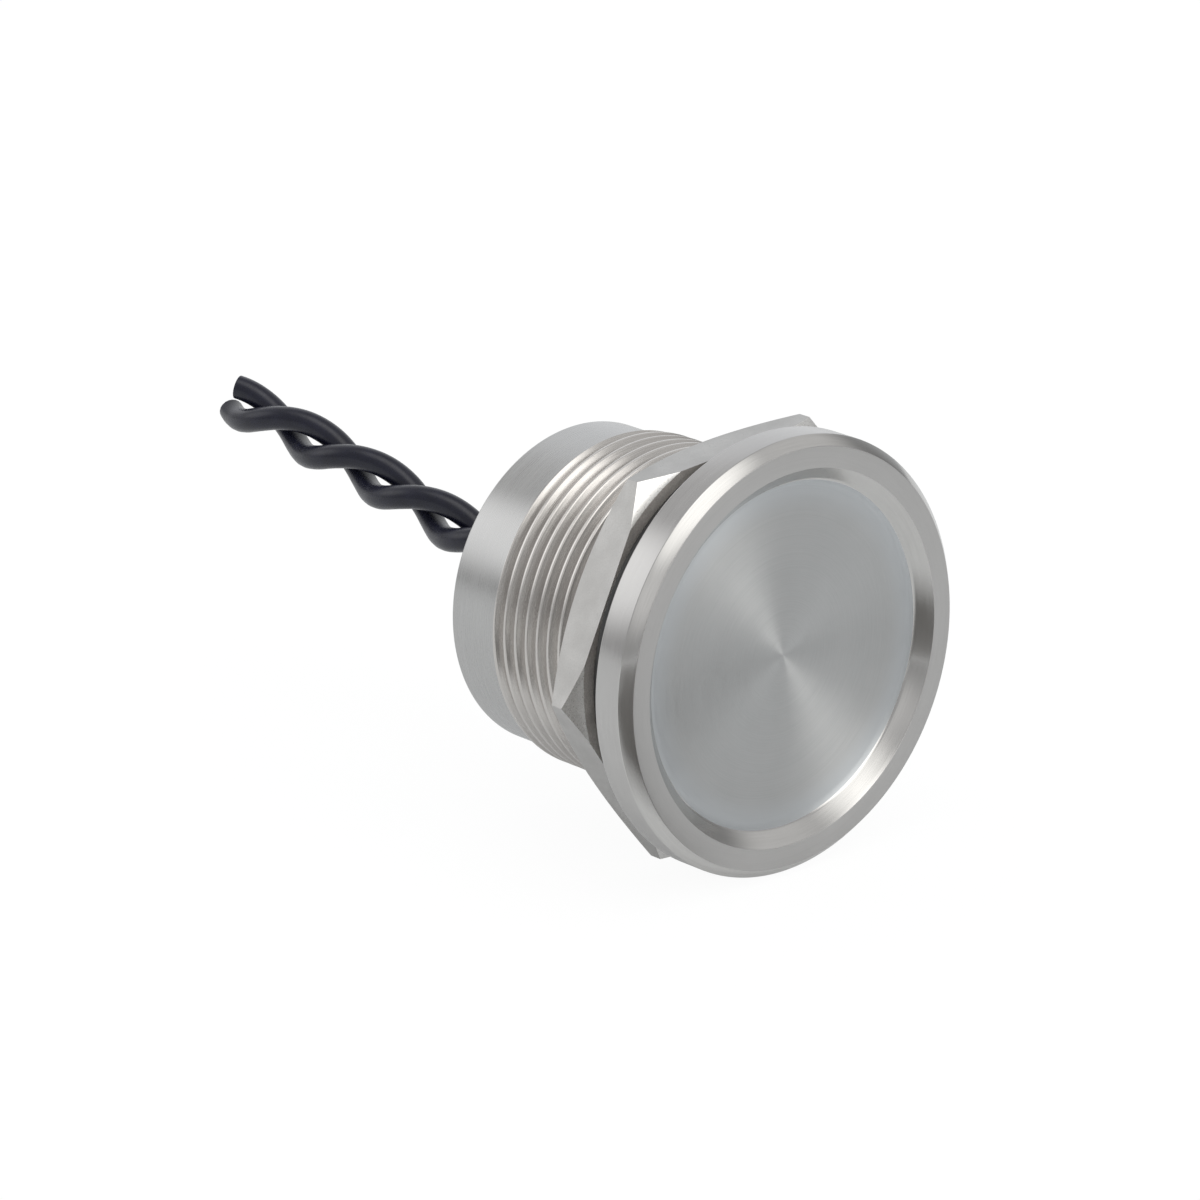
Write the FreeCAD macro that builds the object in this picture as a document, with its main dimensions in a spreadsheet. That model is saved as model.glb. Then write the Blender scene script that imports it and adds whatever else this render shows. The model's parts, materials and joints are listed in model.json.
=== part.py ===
"""Piezo push button for a 22 mm panel hole: steel housing, nut, seal ring, piezo stack, board and leads.

The frame: the touch surface looks towards -Y, the leads leave towards +Y and +Z is up. The origin is
the centre of the flange's rear face, which seats on the panel. All lengths are millimetres.
"""

import FreeCAD, Part

import math
import os

import Sketcher

FULL_TURN = 360
BEHIND = FreeCAD.Rotation(FreeCAD.Vector(1, 0, 0), -90)  # lays a piece's own Z axis along +Y

doc = FreeCAD.newDocument("piezo_push_button")
sheet = doc.addObject("Spreadsheet::Sheet", "Sizes")

# Driving sizes, one cell each
SIZES = {
    # housing: threaded barrel, collar and bore
    "barrel_radius": 10.9,
    "thread_pitch": 1.0,
    "thread_depth_share": 0.60,
    "thread_root_share": 0.10,
    "thread_flank_angle": 30,
    "thread_phase": 1.055,
    "relief_start": 0.7,
    "relief_width": 1.2,
    "thread_end": 12.8,
    "collar_step": 0.45,
    "collar_length": 3.95,
    "collar_wall": 1.45,
    "membrane_thickness": 0.8,
    # housing: flange, rim and touch recess
    "seat_width": 0.9,
    "flange_side": 2.06,
    "rim_chamfer_width": 0.63,
    "rim_chamfer_depth": 0.69,
    "rim_width": 1.34,
    "recess_bevel": 1.03,
    "recess_depth": 1.05,
    "edge_break": 0.10,
    # seal ring and its seat
    "seal_cord": 2.0,
    "seal_clearance": 0.05,
    "seal_seat_depth": 0.15,
    "seal_seat_clearance": 0.15,
    # hexagon nut
    "nut_wall": 1.49,
    "nut_thickness": 2.65,
    "nut_seal_gap": 0.20,
    "nut_clearance": 0.06,
    "nut_front_land": 1.05,
    "nut_rear_land": 0.20,
    "nut_chamfer_angle": 30,
    "nut_bore_chamfer": 0.30,
    "nut_turn": 4.6,
    # piezo stack behind the membrane
    "film_thickness": 0.10,
    "plate_thickness": 0.20,
    "plate_rim": 1.45,
    "ceramic_thickness": 0.25,
    "ceramic_rim": 1.5,
    "inner_clearance": 0.05,
    "ring_lip": 1.0,
    "ring_notch": 1.6,
    # circuit board and its packages, each by its inset from the board's rim and its turn from +X
    "board_thickness": 1.0,
    "package_inset": 3.0,
    "bridge_turn": 20,
    "bridge_length": 3.8,
    "bridge_width": 2.6,
    "bridge_height": 1.6,
    "transistor_turn": 95,
    "transistor_length": 2.9,
    "transistor_width": 1.3,
    "transistor_height": 1.0,
    "diode_turn": 285,
    "diode_length": 2.7,
    "diode_width": 1.6,
    "diode_height": 1.2,
    "gate_resistor_turn": 140,
    "bleed_resistor_turn": 170,
    "capacitor_turn": 335,
    "chip_length": 2.0,
    "chip_width": 1.25,
    "chip_cap": 0.40,
    "resistor_height": 0.5,
    "capacitor_height": 0.9,
    "terminal_thickness": 0.20,
    "terminal_width": 0.50,
    "terminal_reach": 0.65,
    # solder joints and wires
    "wire_diameter": 0.40,
    "wire_hole_clearance": 0.15,
    "wire_bow": 0.15,
    "wire_inset": 0.8,
    "ceramic_wire_turn": 235,
    "plate_wire_turn": 197,
    "conductor_diameter": 0.80,
    "solder_height": 0.80,
    "solder_flare": 0.40,
    # leads and potting
    "lead_diameter": 1.6,
    "pair_gap": 0.105,
    "lead_turn": 120.2,
    "lead_bury": 1.9,
    "potting_recess": 0.7,
    "potting_depth": 5.1,
}

# Centre line of the twisted pair: distance behind the potting, height
PAIR_LINE = [(0.0, 0.0), (3.0, 0.1), (7.5, 0.65), (15.3, 1.82), (22.2, 2.91), (29.3, 4.0), (36.5, 4.9)]
PAIR_LAY = 14.0
PAIR_STEPS = 8  # route points in one lay
PAIR_POINTS = 20  # route points between the potting and the cut ends
ARC_SHARE = 0.45  # share of the shorter run that an arc of a lead takes


class Size:
    """A length or angle with its formula, so that a geometry value and its expression agree."""

    def __init__(self, value, formula):
        self.value = value
        self.formula = formula

    def __add__(self, other):
        other = as_size(other)
        return Size(self.value + other.value, f"({self.formula} + {other.formula})")

    def __sub__(self, other):
        other = as_size(other)
        return Size(self.value - other.value, f"({self.formula} - {other.formula})")

    def __mul__(self, other):
        other = as_size(other)
        return Size(self.value * other.value, f"({self.formula} * {other.formula})")

    def __truediv__(self, other):
        other = as_size(other)
        return Size(self.value / other.value, f"({self.formula} / {other.formula})")

    def __neg__(self):
        return Size(-self.value, f"(-{self.formula})")

    def tangent(self):
        return Size(math.tan(math.radians(self.value)), f"tan({self.formula} * 1 deg)")

    def cosine(self):
        return Size(math.cos(math.radians(self.value)), f"cos({self.formula} * 1 deg)")

    def sine(self):
        return Size(math.sin(math.radians(self.value)), f"sin({self.formula} * 1 deg)")


def as_size(number):
    return number if isinstance(number, Size) else Size(float(number), repr(float(number)))


def fill_sheet():
    for row, (alias, number) in enumerate(SIZES.items(), start=1):
        sheet.set(f"A{row}", alias.replace("_", " "))
        sheet.set(f"B{row}", str(number))
        sheet.setAlias(f"B{row}", alias)
    doc.recompute()


def cell(alias):
    return Size(float(sheet.get(alias)), f"Sizes.{alias}")


def bind(thing, **sizes):
    """Bind properties of an object to formulas of the sheet."""
    for name, size in sizes.items():
        thing.setExpression(name, as_size(size).formula)


def place(thing, x, y, z, rotation=None):
    """Put an object at a place whose coordinates follow the sheet."""
    thing.Placement = FreeCAD.Placement(FreeCAD.Vector(), rotation or FreeCAD.Rotation())
    for axis, size in zip("xyz", (x, y, z)):
        thing.setExpression(f"Placement.Base.{axis}", as_size(size).formula)


def profile(body, name, wires):
    """Sketch closed outlines on the body's XY plane, each corner held at (radius, distance behind)."""
    plane = next(item for item in body.Origin.OriginFeatures if item.Role == "XY_Plane")
    sketch = body.newObject("Sketcher::SketchObject", name)
    sketch.AttachmentSupport = (plane, [""])
    sketch.MapMode = "FlatFace"
    for corners in wires:
        first = sketch.GeometryCount
        spots = [FreeCAD.Vector(as_size(x).value, as_size(y).value, 0) for x, y in corners]
        for start, end in zip(spots, spots[1:] + spots[:1]):
            sketch.addGeometry(Part.LineSegment(start, end), False)
        count = len(corners)
        for i in range(count):
            sketch.addConstraint(
                Sketcher.Constraint("Coincident", first + i, 2, first + (i + 1) % count, 1)
            )
        for i, corner in enumerate(corners):
            for kind, part in zip(("DistanceX", "DistanceY"), corner):
                size = as_size(part)
                number = sketch.addConstraint(
                    Sketcher.Constraint(kind, -1, 1, first + i, 1, size.value)
                )
                sketch.setExpression(f"Constraints[{number}]", size.formula)
    return sketch


def turned(body, kind, name, wires):
    """Revolve outlines about the button's axis, as material or as a cut."""
    sketch = profile(body, name + "Outline", wires)
    feature = body.newObject("PartDesign::" + kind, name)
    feature.Profile = sketch
    feature.ReferenceAxis = (sketch, ["V_Axis"])
    feature.Angle = FULL_TURN
    sketch.Visibility = False
    return feature


def new_body(name):
    body = doc.addObject("PartDesign::Body", name)
    body.Label = name
    return body


def cylinder(name, radius, length, x, y, z):
    """A cylinder along the button's axis that starts at the place given."""
    thing = doc.addObject("Part::Cylinder", name)
    bind(thing, Radius=radius, Height=length)
    place(thing, x, y, z, BEHIND)
    return thing


def box(name, sizes, corner):
    thing = doc.addObject("Part::Box", name)
    bind(thing, Length=sizes[0], Width=sizes[1], Height=sizes[2])
    place(thing, *corner)
    return thing


def cut(name, base, tool):
    thing = doc.addObject("Part::Cut", name)
    thing.Base = base
    thing.Tool = tool
    return thing


def fuse(name, things):
    thing = doc.addObject("Part::MultiFuse", name)
    thing.Shapes = things
    return thing


fill_sheet()

# Radii that several pieces share
thread_depth = cell("thread_pitch") * cell("thread_depth_share")
thread_root = cell("barrel_radius") - thread_depth
collar_radius = cell("barrel_radius") - cell("collar_step")
bore_radius = collar_radius - cell("collar_wall")
seal_inner = cell("barrel_radius") + cell("seal_clearance")
seal_seat_radius = seal_inner + cell("seal_cord") + cell("seal_seat_clearance")
flange_radius = seal_seat_radius + cell("seat_width")
rim_outer = flange_radius - cell("rim_chamfer_width")
rim_inner = rim_outer - cell("rim_width")
touch_radius = rim_inner - cell("recess_bevel")
inner_radius = bore_radius - cell("inner_clearance")
plate_radius = inner_radius - cell("plate_rim")
ring_bore = plate_radius - cell("ring_lip")
ceramic_radius = ring_bore - cell("ceramic_rim")
lead_offset = (cell("lead_diameter") / 2 + cell("pair_gap")) / math.cos(math.pi / PAIR_STEPS)

# Planes along the axis, front to rear
rim_face = -(cell("flange_side") + cell("rim_chamfer_depth"))
touch_face = rim_face + cell("recess_depth")
bore_floor = touch_face + cell("membrane_thickness")
plate_front = bore_floor + cell("film_thickness")
plate_rear = plate_front + cell("plate_thickness")
ceramic_rear = plate_rear + cell("ceramic_thickness")
nut_front = cell("seal_cord") - cell("seal_seat_depth") + cell("nut_seal_gap")
collar_start = cell("thread_end") + cell("collar_step")
collar_end = collar_start + cell("collar_length")
potting_rear = collar_end - cell("potting_recess")
board_rear = potting_rear - cell("potting_depth")
board_front = board_rear - cell("board_thickness")
ring_length = board_front - plate_rear
lead_front = potting_rear - cell("lead_bury")


def make_housing():
    """Flange, recessed touch face, threaded barrel, smooth collar and blind bore, turned from one bar."""
    body = new_body("housing")
    edge = cell("edge_break")
    front = [
        (0, touch_face),
        (touch_radius, touch_face),
        (rim_inner, rim_face),
        (rim_outer, rim_face),
        (flange_radius, -cell("flange_side")),
        (flange_radius, -edge),
        (flange_radius - edge, 0),
        (seal_seat_radius, 0),
        (seal_seat_radius, -cell("seal_seat_depth")),
        (cell("barrel_radius"), -cell("seal_seat_depth")),
        (cell("barrel_radius"), cell("relief_start")),
        (thread_root, cell("relief_start") + thread_depth),
        (thread_root, cell("relief_start") + cell("relief_width")),
        (cell("barrel_radius"), cell("relief_start") + cell("relief_width") + thread_depth),
        (cell("barrel_radius"), cell("thread_end")),
        (collar_radius, collar_start),
        (bore_radius, collar_start),
        (bore_radius, bore_floor),
        (0, bore_floor),
    ]
    turned(body, "Revolution", "FlangeAndBarrel", [front])
    doc.recompute()
    cut_thread(body)
    doc.recompute()
    collar = [
        (bore_radius, collar_start),
        (collar_radius, collar_start),
        (collar_radius, collar_end - edge),
        (collar_radius - edge, collar_end),
        (bore_radius + edge, collar_end),
        (bore_radius, collar_end - edge),
    ]
    turned(body, "Revolution", "Collar", [collar])
    doc.recompute()
    return body


def cut_thread(body):
    """Right-hand thread, cut as one helical groove from the relief to past the barrel's chamfer."""
    slope = cell("thread_flank_angle").tangent()
    over = cell("thread_pitch") * cell("thread_root_share")
    start = cell("relief_start") + cell("thread_phase")
    half_root = over / 2
    half_mouth = half_root + (thread_depth + over) * slope
    mouth = cell("barrel_radius") + over
    groove = [
        (thread_root, start - half_root),
        (mouth, start - half_mouth),
        (mouth, start + half_mouth),
        (thread_root, start + half_root),
    ]
    before = body.Shape.Volume
    sketch = profile(body, "ThreadOutline", [groove])
    helix = body.newObject("PartDesign::SubtractiveHelix", "Thread")
    helix.Profile = sketch
    helix.ReferenceAxis = (sketch, ["V_Axis"])
    helix.Mode = "pitch-height-angle"
    bind(
        helix,
        Pitch=cell("thread_pitch"),
        Height=collar_start + cell("thread_pitch") - start,
    )
    helix.LeftHanded = False
    sketch.Visibility = False
    doc.recompute()
    if not body.Shape.Volume < before:
        raise RuntimeError("the thread cut nothing")


def make_nut():
    """Thin hexagon nut: a turned blank with a cone at each end, cut to six flats."""
    slope = cell("nut_chamfer_angle").tangent()
    rear = nut_front + cell("nut_thickness")
    bore = cell("barrel_radius") + cell("nut_clearance")
    chamfer = cell("nut_bore_chamfer")
    flat = bore + cell("nut_wall")
    corner = flat / math.cos(math.pi / 6)
    outside = corner + cell("edge_break")
    front_circle = flat + cell("nut_front_land")
    rear_circle = flat - cell("nut_rear_land")
    blank = new_body("nut_blank")
    outline = [
        (bore, nut_front + chamfer),
        (bore + chamfer, nut_front),
        (front_circle, nut_front),
        (outside, nut_front + (outside - front_circle) * slope),
        (outside, rear - (outside - rear_circle) * slope),
        (rear_circle, rear),
        (bore + chamfer, rear),
        (bore, rear - chamfer),
    ]
    turned(blank, "Revolution", "NutBlank", [outline])
    flats = doc.addObject("Part::Prism", "NutFlats")
    flats.Polygon = 6
    bind(flats, Circumradius=corner, Height=cell("nut_thickness"))
    turn = FreeCAD.Rotation(FreeCAD.Vector(0, 0, 1), -cell("nut_turn").value)
    place(flats, 0, nut_front, 0, BEHIND.multiply(turn))
    nut = doc.addObject("Part::MultiCommon", "hex_nut")
    nut.Shapes = [blank, flats]
    return nut


def make_seal():
    """Round seal ring on the barrel, against its shallow seat in the flange."""
    ring = doc.addObject("Part::Torus", "seal_ring")
    bind(ring, Radius1=seal_inner + cell("seal_cord") / 2, Radius2=cell("seal_cord") / 2)
    place(ring, 0, cell("seal_cord") / 2 - cell("seal_seat_depth"), 0, BEHIND)
    return ring


def make_stack():
    """Insulating film, brass plate and ceramic disc, pressed on the membrane by the support ring."""
    film = cylinder("insulating_film", inner_radius, cell("film_thickness"), 0, bore_floor, 0)
    plate = cylinder("piezo_plate", plate_radius, cell("plate_thickness"), 0, plate_front, 0)
    disc = cylinder("piezo_ceramic", ceramic_radius, cell("ceramic_thickness"), 0, plate_rear, 0)
    wall = cylinder("RingWall", inner_radius, ring_length, 0, plate_rear, 0)
    hole = cylinder("RingBore", ring_bore, ring_length, 0, plate_rear, 0)
    notch = box(
        "RingNotch",
        (cell("ring_notch"), ring_length / 2, bore_radius),
        (-cell("ring_notch") / 2, board_front - ring_length / 2, 0),
    )
    ring = cut("support_ring", wall, fuse("RingOpening", [hole, notch]))
    return [film, plate, disc, ring]


def pad_hole(name, diameter, x, z):
    radius = diameter / 2 + cell("wire_hole_clearance")
    return cylinder(name, radius, cell("board_thickness"), x, board_front, z)


def polar(offset, turn):
    """Coordinates across the axis, from the distance off it and the turn from +X towards +Z."""
    return offset * turn.cosine(), offset * turn.sine()


def lead_spots():
    """Where the two leads run through the potting: a pair, one on each side of the axis."""
    x, z = polar(lead_offset, cell("lead_turn"))
    return {"a": (x, z), "b": (-x, -z)}


def wire_spots():
    """Where the two piezo wires meet the board."""
    return {
        "ceramic": polar(ceramic_radius - cell("wire_inset"), cell("ceramic_wire_turn")),
        "plate": polar(ring_bore - cell("ceramic_rim") / 2, cell("plate_wire_turn")),
    }


def make_board():
    disc = cylinder("BoardDisc", inner_radius, cell("board_thickness"), 0, board_front, 0)
    holes = []
    for side, (x, z) in lead_spots().items():
        holes.append(pad_hole("LeadHole_" + side, cell("conductor_diameter"), x, z))
    for side, (x, z) in wire_spots().items():
        holes.append(pad_hole("WireHole_" + side, cell("wire_diameter"), x, z))
    return cut("circuit_board", disc, fuse("BoardHoles", holes))


def block(name, size, x, z, lift=0):
    """A box of (length, height, width) centred at (x, z) on the board, its height along the axis."""
    length, height, width = size
    return box(name, size, (x - length / 2, board_rear + lift, z - width / 2))


def terminal(name, x, z, side, height):
    """A bent terminal: a foot on the board and a riser against the package, at its edge on one side."""
    foot = cell("terminal_reach")
    thick = cell("terminal_thickness")
    wide = cell("terminal_width")
    left = x - wide / 2
    outwards = (z, z) if side > 0 else (z - foot, z - thick)
    return [
        box(name + "Foot", (wide, thick, foot), (left, board_rear, outwards[0])),
        box(name + "Riser", (wide, height / 2, thick), (left, board_rear, outwards[1])),
    ]


def package(name, kind, terminals):
    """A moulded package with bent terminals, each (offset along X, side towards which it points)."""
    x, z = package_spot(kind + "_turn")
    height = cell(kind + "_height")
    width = cell(kind + "_width")
    standoff = cell("terminal_thickness") / 2
    pieces = [block(name + "Body", (cell(kind + "_length"), height - standoff, width), x, z, standoff)]
    for number, (offset, side) in enumerate(terminals):
        edge = z + width / 2 * side
        pieces += terminal(f"{name}Leg{number}", x + offset, edge, side, height)
    return fuse(name, pieces)


def chip(name, height, turn):
    """A chip component: a body with a metal cap at each end."""
    x, z = package_spot(turn)
    length = cell("chip_length")
    cap = cell("chip_cap")
    rise = cell("terminal_thickness") / 4
    shift = (length - cap) / 2
    pieces = [block(name + "Body", (length - cap, height - rise, cell("chip_width") - rise), x, z)]
    for end, offset in (("Left", -shift), ("Right", shift)):
        pieces.append(block(name + end, (cap, height, cell("chip_width")), x + offset, z))
    return fuse(name, pieces)


def package_spot(turn):
    """Centre of a package on the board, at the packages' inset from its rim."""
    return polar(inner_radius - cell("package_inset"), cell(turn))


def make_packages():
    bridge_pin = cell("bridge_length") / 2 - cell("terminal_width")
    transistor_pin = cell("transistor_length") / 2 - cell("terminal_width")
    middle = as_size(0)
    return [
        package("bridge_rectifier", "bridge",
                [(-bridge_pin, -1), (bridge_pin, -1), (-bridge_pin, 1), (bridge_pin, 1)]),
        package("switching_transistor", "transistor",
                [(-transistor_pin, -1), (transistor_pin, -1), (middle, 1)]),
        package("protection_diode", "diode", [(middle, -1), (middle, 1)]),
        chip("gate_resistor", cell("resistor_height"), "gate_resistor_turn"),
        chip("bleed_resistor", cell("resistor_height"), "bleed_resistor_turn"),
        chip("charge_capacitor", cell("capacitor_height"), "capacitor_turn"),
    ]


def bowed_wire(name, start, end):
    """A wire between two points, slack enough to bow a little along X."""
    middle = (start + end) / 2 + FreeCAD.Vector(cell("wire_bow").value, 0, 0)
    path = Part.Wire([Part.Arc(start, middle, end).toShape()])
    return swept(name, path, cell("wire_diameter").value)


def swept(name, path, diameter):
    """A round section carried along a path."""
    edge = path.OrderedEdges[0]
    start = edge.valueAt(edge.FirstParameter)
    tangent = edge.tangentAt(edge.FirstParameter)
    section = Part.Wire([Part.Circle(start, tangent, diameter / 2).toShape()])
    thing = doc.addObject("Part::Feature", name)
    thing.Shape = path.makePipeShell([section], True, False)
    return thing


def make_wires():
    """Piezo wires from the ceramic and the plate's rim to the board, with their solder joints."""
    rise = cell("solder_height") / 2
    lift = cell("inner_clearance").value
    made = []
    for side, surface in (("ceramic", ceramic_rear), ("plate", plate_rear)):
        x, z = wire_spots()[side]
        start = FreeCAD.Vector(x.value, surface.value + lift, z.value)
        end = FreeCAD.Vector(x.value, (board_rear + rise).value, z.value)
        wire = bowed_wire(side + "_wire", start, end)
        made += [wire, dome(side + "_solder", wire, x, surface, z)]
        made.append(dome(side + "_wire_joint", wire, x, board_rear, z))
    return made


def dome(name, core, x, y, z):
    """A small solder cone on a surface, with the wire taken out of it."""
    return solder(name, core, cell("wire_diameter") / 2, 2, x, y, z)


def solder(name, core, radius, part, x, y, z):
    """A solder cone round a wire or conductor; part divides the full height and flare of a lead's."""
    cone = doc.addObject("Part::Cone", name + "_cone")
    bind(
        cone,
        Radius1=radius + cell("solder_flare") / part,
        Radius2=radius + cell("inner_clearance"),
        Height=cell("solder_height") / part,
    )
    place(cone, x, y, z, BEHIND)
    return cut(name, cone, core)


def pair_centre(distance):
    """Height of the pair's centre line at a distance behind the potting."""
    for (near, low), (far, high) in zip(PAIR_LINE, PAIR_LINE[1:]):
        if distance <= far:
            break
    return low + (high - low) * (distance - near) / (far - near)


def lead_route(half_turn):
    """Route points of one lead: straight out of the potting, round the pair's line, straight at the cut."""
    step = PAIR_LAY / PAIR_STEPS
    offset = lead_offset.value
    exit_y = potting_rear.value
    points = []
    for i in range(PAIR_POINTS):
        angle = math.radians(cell("lead_turn").value + half_turn + FULL_TURN / PAIR_STEPS * i)
        z = pair_centre(step * i) + offset * math.sin(angle)
        points.append(FreeCAD.Vector(offset * math.cos(angle), exit_y + step * i, z))
    points.insert(0, points[0] - FreeCAD.Vector(0, cell("lead_bury").value, 0))
    rise = pair_centre(step * PAIR_POINTS) - pair_centre(step * (PAIR_POINTS - 1))
    points.append(points[-1] + FreeCAD.Vector(0, step, rise))
    return points


def rounded_path(points):
    """Straight runs joined by tangent arcs, with the radii used."""
    edges = []
    radii = []
    start = points[0]
    for before, corner, after in zip(points, points[1:], points[2:]):
        into = corner - before
        out = after - corner
        reach = ARC_SHARE * min(into.Length, out.Length)
        turn = into.getAngle(out)
        radius = reach / math.tan(turn / 2)
        into.normalize()
        out.normalize()
        first = corner - into * reach
        last = corner + out * reach
        bisector = out - into
        bisector.normalize()
        centre = corner + bisector * (radius / math.cos(turn / 2))
        middle = centre - bisector * radius
        edges.append(Part.LineSegment(start, first).toShape())
        edges.append(Part.Arc(first, middle, last).toShape())
        radii.append(radius)
        start = last
    edges.append(Part.LineSegment(start, points[-1]).toShape())
    return Part.Wire(edges), radii


def make_leads():
    """Two insulated leads, twisted together, with their bared conductors in the board."""
    made = []
    diameter = cell("lead_diameter").value
    for side, half_turn in (("a", 0), ("b", 180)):
        route = lead_route(half_turn)
        path, radii = rounded_path(route)
        lead = swept("lead_" + side, path, diameter)
        expected = math.pi * diameter**2 / 4 * path.Length
        print(f"lead_{side}: length {path.Length:.2f}, radii {min(radii):.2f} to {max(radii):.2f},"
              f" volume {lead.Shape.Volume:.2f} of {expected:.2f}")
        x, z = lead_spots()[side]
        conductor = cylinder("conductor_" + side, cell("conductor_diameter") / 2,
                             lead_front - board_front, x, board_front, z)
        joint = solder("lead_solder_" + side, conductor, cell("conductor_diameter") / 2, 1,
                       x, board_rear, z)
        made += [lead, conductor, joint]
    return made


def make_potting(inside):
    """Sealing compound from the board to its level below the collar's end, round all that it covers."""
    fill = cylinder("PottingFill", bore_radius, cell("potting_depth"), 0, board_rear, 0)
    return cut("potting", fill, fuse("PottedPieces", inside))


housing = make_housing()
nut = make_nut()
seal = make_seal()
stack = make_stack()
board = make_board()
packages = make_packages()
wires = make_wires()
leads = make_leads()
potting = make_potting(packages + wires + leads)
doc.recompute()

nodes = [housing, nut, seal] + stack + [board] + packages + wires + leads + [potting]

for thing in doc.Objects:
    if "Invalid" in thing.State or "Error" in thing.State:
        raise RuntimeError(f"{thing.Name} failed: {thing.State}")

os.makedirs("parts", exist_ok=True)
for node in nodes:
    node.Label = node.Name
    if node.Shape.isNull() or not node.Shape.isValid():
        raise RuntimeError(f"{node.Name} has no valid shape")
    node.Shape.exportStep(f"parts/{node.Name}.step")
print(f"{len(nodes)} nodes written")
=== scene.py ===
import json
import math

import bmesh
import bpy
from mathutils import Matrix, Vector


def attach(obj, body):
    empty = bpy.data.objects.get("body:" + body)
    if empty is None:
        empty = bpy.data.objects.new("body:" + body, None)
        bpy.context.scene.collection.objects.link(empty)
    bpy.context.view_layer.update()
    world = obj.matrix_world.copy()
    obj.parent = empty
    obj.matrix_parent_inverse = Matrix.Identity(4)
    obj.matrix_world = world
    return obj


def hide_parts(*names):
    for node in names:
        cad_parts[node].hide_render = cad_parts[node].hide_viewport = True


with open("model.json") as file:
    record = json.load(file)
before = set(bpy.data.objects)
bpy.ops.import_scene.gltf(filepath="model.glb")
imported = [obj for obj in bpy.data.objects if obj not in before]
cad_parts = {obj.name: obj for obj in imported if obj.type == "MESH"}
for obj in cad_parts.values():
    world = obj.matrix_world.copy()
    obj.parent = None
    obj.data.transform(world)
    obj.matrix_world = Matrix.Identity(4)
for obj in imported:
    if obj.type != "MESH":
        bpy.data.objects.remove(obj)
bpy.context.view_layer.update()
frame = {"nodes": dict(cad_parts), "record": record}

MM = 0.001
AXIS = Vector((0, 1, 0))
STEPS = 256  # faces round a turned piece
MERGE = 1e-7  # metres between points that are one
NEAR = 2e-6  # metres between a ring's points and the corner it belongs to

# Camera, fitted to the photographed button
VIEW_AZIMUTH = math.radians(-42.07)
VIEW_ELEVATION = math.radians(18.90)
VIEW_LENS = 175.54
VIEW_SENSOR = 36
VIEW_NEAR = 0.01
VIEW_PLACE = Vector((-234.10, -244.35, 118.96)) * MM

# From here on sizes are in millimetres and turns in degrees; a level is a distance behind the seat

# Twisted pair of leads: it leaves the potting as in the source and then lies as photographed
POTTING_LEVEL = 16.5
LEAD_RADIUS = 0.8
LEAD_BURY = 1.9
EXIT_TURN = 120.2
EXIT_GAP = 0.105
PAIR_SETTLED = 9.0  # where the photograph's route begins, as a distance from the potting
PAIR_TURN = 70.4
PAIR_GAP = 0.174
PAIR_LAY = 13.36
PAIR_CORNERS = 8  # route points in one lay
PAIR_LINE = [(0.0, -0.55), (9.0, 0.20), (18.0, 1.99), (27.0, 3.63), (37.0, 5.14)]
PAIR_DRIFT = 1.0  # how far the pair leans to the left at DRIFT_REACH
DRIFT_REACH = 35.0
LEAD_ENDS = {"a": 34.6, "b": 33.8}  # the slanted cut, as distances from the potting
STRAND_RADIUS = 0.13
STRAND_TURN = 11
STRAND_DEPTH = 0.4
STRAND_PROUD = 0.005
STRAND_EDGE = 0.025

# Housing
TOUCH_FACE = -1.70
TOUCH_RADIUS = 11.0
TOUCH_FILLET = 0.35
RIM_FACE = -2.75
RIM_INNER = 12.03
RIM_OUTER = 13.37
RIM_EDGE = 0.05
FLANGE_RADIUS = 14.0
FLANGE_FRONT = -2.06
SEAT_RADIUS = 13.10
SEAT_LEVEL = -0.15
BARREL_RADIUS = 10.9
THREAD_PITCH = 1.0
THREAD_DEPTH = 0.6
THREAD_ROOT = BARREL_RADIUS - THREAD_DEPTH
THREAD_FLAT = 0.05  # half the flat at the root
THREAD_SLOPE = math.tan(math.radians(30))
THREAD_START = 1.755
THREAD_END = 12.8
THREAD_TURNS = 13
# Rounded crest, as (height over the barrel, width past the groove's plain mouth)
CREST_CUT = 0.05
CREST = [(-0.015, 0.008), (0.004, 0.045), (0.1, 0.047)]
CREST_END = 0.004
RELIEF_START = 0.7
RELIEF_END = 1.9
COLLAR_RADIUS = 10.45
COLLAR_START = 13.25
COLLAR_END = 17.2
BORE_RADIUS = 9.0
BORE_FLOOR = -0.90
EDGE = 0.1  # small chamfers
EDGE_ROUND = 0.04

# Nut, with its front face set forward a little to the photograph's
NUT_FRONT = 1.90
NUT_REAR = 4.70
NUT_FLAT = 12.45
NUT_BORE = 10.96
NUT_BORE_CHAMFER = 0.3
NUT_FRONT_CIRCLE = 13.15
NUT_REAR_CIRCLE = 12.25
CHAMFER_SLOPE = math.tan(math.radians(30))
NUT_TURN = 4.6
NUT_EDGE = 0.10
NUT_INSIDE = 11.6  # edges within this radius stay sharp
NUT_GROOVE_OVER = 0.1  # how far the groove's cutter stands out into the bore
NUT_GROOVE_DEPTH = 0.22
NUT_GROOVE_MOUTH = 0.42  # half widths
NUT_GROOVE_FLAT = 0.11
NUT_GROOVE_AHEAD = 0.795
NUT_GROOVE_TURNS = 5

# Seal ring
SEAL_CENTRE = 11.95
SEAL_RADIUS = 1.0
SEAL_PLACE = 0.85
SEAL_LINE = 0.03

# Surface of the resin: it stands up a little over the source's, more at the wall and the leads
RESIN_RINGS = 60
RESIN_SKIN = 0.03
RESIN_DEPTH = 0.3
WALL_RISE = 0.28
WALL_REACH = 0.35
LEAD_RISE = 0.30
LEAD_REACH = 0.22

# Floor and the dark card over it, as heights over the button's axis
FLOOR_HEIGHT = -14.05
CARD_HEIGHT = FLOOR_HEIGHT + 0.4


# Camera and leads

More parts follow.
